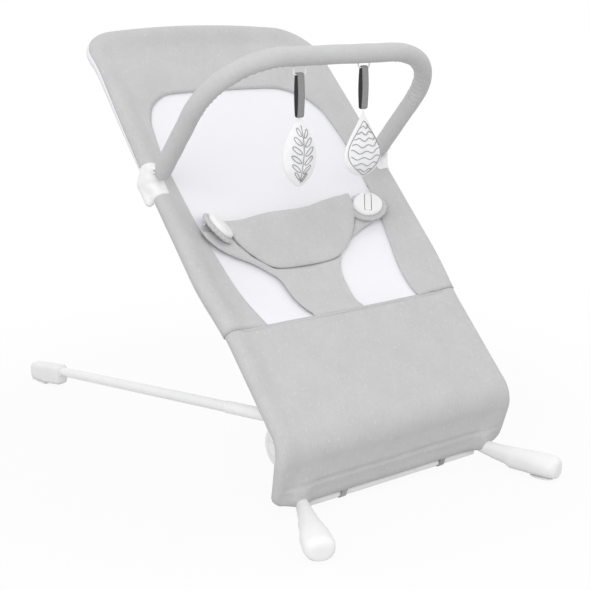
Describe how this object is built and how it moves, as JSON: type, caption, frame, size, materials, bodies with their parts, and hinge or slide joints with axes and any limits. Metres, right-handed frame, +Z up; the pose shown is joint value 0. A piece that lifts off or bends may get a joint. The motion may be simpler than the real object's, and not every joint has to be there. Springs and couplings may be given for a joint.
{
  "type": "baby bouncer",
  "caption": "Baby bouncer: a grey cloth sling in a tubular hoop reclines on a low base of splayed legs, with a waist belt, round buckles and a padded bar of hanging toys.",
  "frame": {"origin": "on the floor, under the middle of the part's bounding box", "axes": "+Z up, the foot end of the seat faces -Y and the head end +Y, X across the seat"},
  "size_m": [0.474, 0.7965, 0.6002],
  "materials": {
    "white_plastic": "satin moulded",
    "white_enamel": "smooth white powder coat",
    "grey_melange_cloth": "woven two-tone grey",
    "white_mesh_cloth": "open white mesh",
    "dark_webbing": "flat webbing",
    "toy_cloth": "printed cotton",
    "bare_steel": "bright",
    "clear_grey_rubber": "matt"
  },
  "bodies": {
    "base": {"rear_foot_left": "white_plastic", "rear_foot_right": "white_plastic", "rear_sole_left": "clear_grey_rubber", "rear_sole_right": "clear_grey_rubber", "leg_rear_left": "white_enamel", "leg_rear_right": "white_enamel", "leg_front_left": "white_enamel", "leg_front_right": "white_enamel", "hub_housing_left": "white_plastic", "hub_housing_right": "white_plastic", "hub_ring_left": "bare_steel", "hub_ring_right": "bare_steel", "hub_cover_left": "white_plastic", "hub_cover_right": "white_plastic", "front_foot_left": "white_plastic", "front_foot_right": "white_plastic", "front_sole_left": "clear_grey_rubber", "front_sole_right": "clear_grey_rubber", "crossbar": "white_enamel", "hem_rod": "white_enamel", "hem_clip_left": "bare_steel", "hem_clip_right": "bare_steel", "leg_flap": "grey_melange_cloth"},
    "seat": {"recline_plate_left": "white_plastic", "recline_plate_right": "white_plastic", "seat_hoop": "white_enamel", "sling_sleeve": "grey_melange_cloth", "sling_panel": "grey_melange_cloth", "mesh_liner": "white_mesh_cloth", "waist_belt": "grey_melange_cloth", "belt_anchor_left": "white_plastic", "belt_anchor_right": "white_plastic", "belt_tab_left": "grey_melange_cloth", "belt_tab_right": "grey_melange_cloth", "buckle_left": "white_plastic", "buckle_right": "white_plastic", "toybar_clamp_left": "white_plastic", "toybar_clamp_right": "white_plastic"},
    "toybar": {"toybar_core": "white_enamel", "toybar_cover": "grey_melange_cloth", "toybar_plug_left": "white_plastic", "toybar_plug_right": "white_plastic", "toybar_pin_left": "bare_steel", "toybar_pin_right": "bare_steel", "strap_clip_left": "white_plastic", "strap_clip_right": "white_plastic"},
    "toy_left": {"toy_strap_left": "dark_webbing", "toy_leaf_left": "toy_cloth"},
    "toy_right": {"toy_strap_right": "dark_webbing", "toy_leaf_right": "toy_cloth"},
    "buckle_button_left": {"buckle_button_left": "white_plastic"},
    "buckle_button_right": {"buckle_button_right": "white_plastic"},
    "hub_button_left": {"hub_button_left": "white_plastic"},
    "hub_button_right": {"hub_button_right": "white_plastic"}
  },
  "joints": [
    {"name": "seat_recline", "type": "hinge", "parent": "base", "child": "seat", "pos_m": [0, -0.26175, 0.0916], "axis": [1, 0, 0], "range_deg": [-38, 0]},
    {"name": "toybar_tilt", "type": "hinge", "parent": "seat", "child": "toybar", "pos_m": [0, -0.01095, 0.41438], "axis": [1, 0, 0], "range_deg": [-90, 40]},
    {"name": "toy_swing_left", "type": "hinge", "parent": "toybar", "child": "toy_left", "pos_m": [-0.067, -0.15868, 0.54739], "axis": [1, 0, 0], "range_deg": [-45, 45]},
    {"name": "toy_swing_right", "type": "hinge", "parent": "toybar", "child": "toy_right", "pos_m": [0.038, -0.15868, 0.55229], "axis": [1, 0, 0], "range_deg": [-45, 45]},
    {"name": "buckle_press_left", "type": "slide", "parent": "seat", "child": "buckle_button_left", "axis": [-0.3031, 0.6548, -0.6924], "range_m": [0, 0.002], "stiffness_N_per_m": 300, "springref_m": -0.001},
    {"name": "buckle_press_right", "type": "slide", "parent": "seat", "child": "buckle_button_right", "axis": [0.3031, 0.6548, -0.6924], "range_m": [0, 0.002], "stiffness_N_per_m": 300, "springref_m": -0.001},
    {"name": "hub_press_left", "type": "slide", "parent": "base", "child": "hub_button_left", "axis": [1, 0, 0], "range_m": [0, 0.0025], "stiffness_N_per_m": 400, "springref_m": -0.001},
    {"name": "hub_press_right", "type": "slide", "parent": "base", "child": "hub_button_right", "axis": [-1, 0, 0], "range_m": [0, 0.0025], "stiffness_N_per_m": 400, "springref_m": -0.001}
  ]
}
